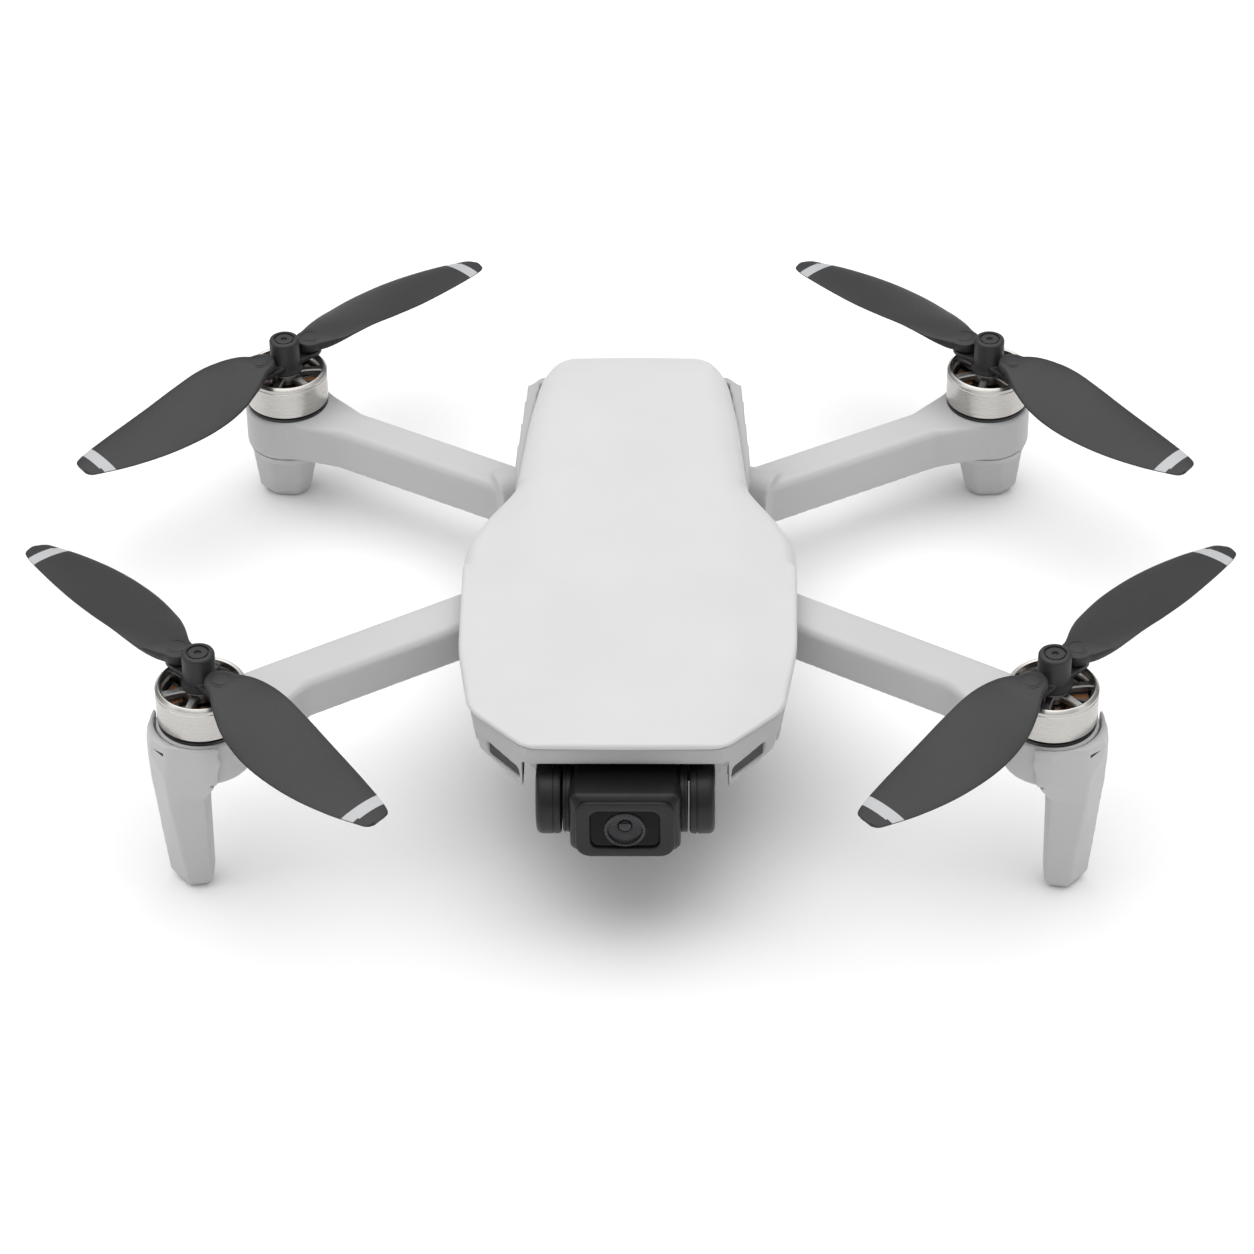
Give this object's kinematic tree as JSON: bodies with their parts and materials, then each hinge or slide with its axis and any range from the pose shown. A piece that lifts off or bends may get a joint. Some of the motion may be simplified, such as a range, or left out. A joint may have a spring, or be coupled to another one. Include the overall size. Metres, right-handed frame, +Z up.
{
  "type": "quadcopter drone",
  "caption": "Folding camera quadcopter with hinged arms, fold-back propeller blades and a stabilised camera in the nose.",
  "frame": {"origin": "on the ground plane, midway between the rotor axes, under the centre of the unfolded aircraft", "axes": "+Z up, -Y towards the nose and camera, +X to the right of someone facing the nose"},
  "size_m": [0.2492, 0.2228, 0.0549],
  "materials": {
    "cover_plastic": "fine matt texture",
    "frame_plastic": "fine matt texture",
    "arm_plastic": "satin",
    "propeller_plastic": "satin, fine moulded grain",
    "bell_metal": "turned satin with a polished rim",
    "stator_copper": "enamelled copper on dark steel",
    "pin_steel": "satin",
    "dark_plastic": "matt",
    "battery_shell": "matt",
    "circuit_board": "solder mask",
    "heat_sink": "anodised",
    "lamp_lens": "translucent",
    "gimbal_plastic": "satin",
    "lens_glass": "coated glass"
  },
  "bodies": {
    "airframe": {"top_shell": "cover_plastic", "mid_frame": "frame_plastic", "bottom_shell": "frame_plastic", "battery": "battery_shell", "battery_door_pin": "pin_steel", "main_board": "circuit_board", "heat_sink": "heat_sink", "vision_module": "dark_plastic", "status_lamp": "lamp_lens", "usb_port": "pin_steel", "card_slot": "pin_steel", "right_intake_grille": "dark_plastic", "left_intake_grille": "dark_plastic", "gimbal_damper_plate": "gimbal_plastic", "gimbal_yaw_motor": "gimbal_plastic", "right_front_arm_pin": "pin_steel", "left_front_arm_pin": "pin_steel", "right_rear_arm_pin": "pin_steel", "left_rear_arm_pin": "pin_steel"},
    "battery_door": {"battery_door": "frame_plastic"},
    "power_button": {"power_button": "dark_plastic"},
    "gimbal_yaw_stage": {"gimbal_yaw_arm": "gimbal_plastic", "gimbal_roll_motor": "gimbal_plastic"},
    "gimbal_roll_stage": {"gimbal_fork": "gimbal_plastic", "gimbal_tilt_motor": "gimbal_plastic", "gimbal_tilt_bearing": "gimbal_plastic"},
    "camera": {"camera_body": "gimbal_plastic", "camera_bezel": "gimbal_plastic", "lens_barrel": "gimbal_plastic", "lens_glass": "lens_glass"},
    "right_front_arm": {"right_front_arm": "arm_plastic", "right_front_leg": "arm_plastic", "front_right_stator": "stator_copper"},
    "right_rear_arm": {"right_rear_arm": "arm_plastic", "right_rear_foot": "arm_plastic", "rear_right_stator": "stator_copper"},
    "left_front_arm": {"left_front_arm": "arm_plastic", "left_front_leg": "arm_plastic", "front_left_stator": "stator_copper"},
    "left_rear_arm": {"left_rear_arm": "arm_plastic", "left_rear_foot": "arm_plastic", "rear_left_stator": "stator_copper"},
    "front_left_rotor": {"front_left_bell": "bell_metal", "front_left_prop_hub": "propeller_plastic"},
    "front_left_blade_a": {"front_left_blade_a": "propeller_plastic"},
    "front_left_blade_b": {"front_left_blade_b": "propeller_plastic"},
    "front_right_rotor": {"front_right_bell": "bell_metal", "front_right_prop_hub": "propeller_plastic"},
    "front_right_blade_a": {"front_right_blade_a": "propeller_plastic"},
    "front_right_blade_b": {"front_right_blade_b": "propeller_plastic"},
    "rear_left_rotor": {"rear_left_bell": "bell_metal", "rear_left_prop_hub": "propeller_plastic"},
    "rear_left_blade_a": {"rear_left_blade_a": "propeller_plastic"},
    "rear_left_blade_b": {"rear_left_blade_b": "propeller_plastic"},
    "rear_right_rotor": {"rear_right_bell": "bell_metal", "rear_right_prop_hub": "propeller_plastic"},
    "rear_right_blade_a": {"rear_right_blade_a": "propeller_plastic"},
    "rear_right_blade_b": {"rear_right_blade_b": "propeller_plastic"}
  },
  "joints": [
    {"name": "gimbal_yaw", "type": "hinge", "parent": "airframe", "child": "gimbal_yaw_stage", "pos_m": [0, -0.074, 0.0405], "axis": [0, 0, 1], "range_deg": [-7, 7]},
    {"name": "gimbal_roll", "type": "hinge", "parent": "gimbal_yaw_stage", "child": "gimbal_roll_stage", "pos_m": [0, -0.0708, 0.0312], "axis": [0, 1, 0], "range_deg": [-6, 6]},
    {"name": "gimbal_tilt", "type": "hinge", "parent": "gimbal_roll_stage", "child": "camera", "pos_m": [0, -0.0831, 0.0312], "axis": [1, 0, 0], "range_deg": [-20, 90]},
    {"name": "right_rear_arm_fold", "type": "hinge", "parent": "airframe", "child": "right_rear_arm", "pos_m": [0.0265, 0.0375, 0.019], "axis": [-0.9245, 0.3811, 0], "range_deg": [0, 180]},
    {"name": "left_rear_arm_fold", "type": "hinge", "parent": "airframe", "child": "left_rear_arm", "pos_m": [-0.0265, 0.0375, 0.019], "axis": [-0.9245, -0.3811, 0], "range_deg": [0, 180]},
    {"name": "right_front_arm_fold", "type": "hinge", "parent": "airframe", "child": "right_front_arm", "pos_m": [0.0285, -0.0272, 0.0341], "axis": [0, 0, 1], "range_deg": [0, 118.5]},
    {"name": "left_front_arm_fold", "type": "hinge", "parent": "airframe", "child": "left_front_arm", "pos_m": [-0.0285, -0.0272, 0.0341], "axis": [0, 0, -1], "range_deg": [0, 118.5]},
    {"name": "front_left_rotor_spin", "type": "hinge", "parent": "left_front_arm", "child": "front_left_rotor", "pos_m": [-0.0851, -0.06775, 0.0396], "axis": [0, 0, 1], "continuous": true},
    {"name": "front_left_blade_a_fold", "type": "hinge", "parent": "front_left_rotor", "child": "front_left_blade_a", "pos_m": [-0.08024, -0.07306, 0.0506], "axis": [0, 0, 1], "range_deg": [-80, 80]},
    {"name": "front_left_blade_b_fold", "type": "hinge", "parent": "front_left_rotor", "child": "front_left_blade_b", "pos_m": [-0.08996, -0.06244, 0.0506], "axis": [0, 0, -1], "range_deg": [-80, 80]},
    {"name": "front_right_rotor_spin", "type": "hinge", "parent": "right_front_arm", "child": "front_right_rotor", "pos_m": [0.0851, -0.06775, 0.0396], "axis": [0, 0, 1], "continuous": true},
    {"name": "front_right_blade_a_fold", "type": "hinge", "parent": "front_right_rotor", "child": "front_right_blade_a", "pos_m": [0.08996, -0.06244, 0.0506], "axis": [0, 0, 1], "range_deg": [-80, 80]},
    {"name": "front_right_blade_b_fold", "type": "hinge", "parent": "front_right_rotor", "child": "front_right_blade_b", "pos_m": [0.08024, -0.07306, 0.0506], "axis": [0, 0, -1], "range_deg": [-80, 80]},
    {"name": "rear_left_rotor_spin", "type": "hinge", "parent": "left_rear_arm", "child": "rear_left_rotor", "pos_m": [-0.0792, 0.06775, 0.0236], "axis": [0, 0, 1], "continuous": true},
    {"name": "rear_left_blade_a_fold", "type": "hinge", "parent": "rear_left_rotor", "child": "rear_left_blade_a", "pos_m": [-0.08442, 0.06279, 0.0346], "axis": [0, 0, 1], "range_deg": [-80, 80]},
    {"name": "rear_left_blade_b_fold", "type": "hinge", "parent": "rear_left_rotor", "child": "rear_left_blade_b", "pos_m": [-0.07398, 0.07271, 0.0346], "axis": [0, 0, -1], "range_deg": [-80, 80]},
    {"name": "rear_right_rotor_spin", "type": "hinge", "parent": "right_rear_arm", "child": "rear_right_rotor", "pos_m": [0.0792, 0.06775, 0.0236], "axis": [0, 0, 1], "continuous": true},
    {"name": "rear_right_blade_a_fold", "type": "hinge", "parent": "rear_right_rotor", "child": "rear_right_blade_a", "pos_m": [0.08442, 0.06279, 0.0346], "axis": [0, 0, 1], "range_deg": [-80, 80]},
    {"name": "rear_right_blade_b_fold", "type": "hinge", "parent": "rear_right_rotor", "child": "rear_right_blade_b", "pos_m": [0.07398, 0.07271, 0.0346], "axis": [0, 0, -1], "range_deg": [-80, 80]},
    {"name": "battery_door_swing", "type": "hinge", "parent": "airframe", "child": "battery_door", "pos_m": [0, 0.0496, 0.0143], "axis": [-1, 0, 0], "range_deg": [0, 95]},
    {"name": "power_button_press", "type": "slide", "parent": "airframe", "child": "power_button", "axis": [0, 0, 1], "range_m": [0, 0.0006], "stiffness_N_per_m": 400, "springref_m": -0.0002}
  ],
  "couplings": [
    {"joint": "right_front_arm_fold", "follows": "right_rear_arm_fold", "ratio": 0.658},
    {"joint": "left_front_arm_fold", "follows": "left_rear_arm_fold", "ratio": 0.658}
  ]
}
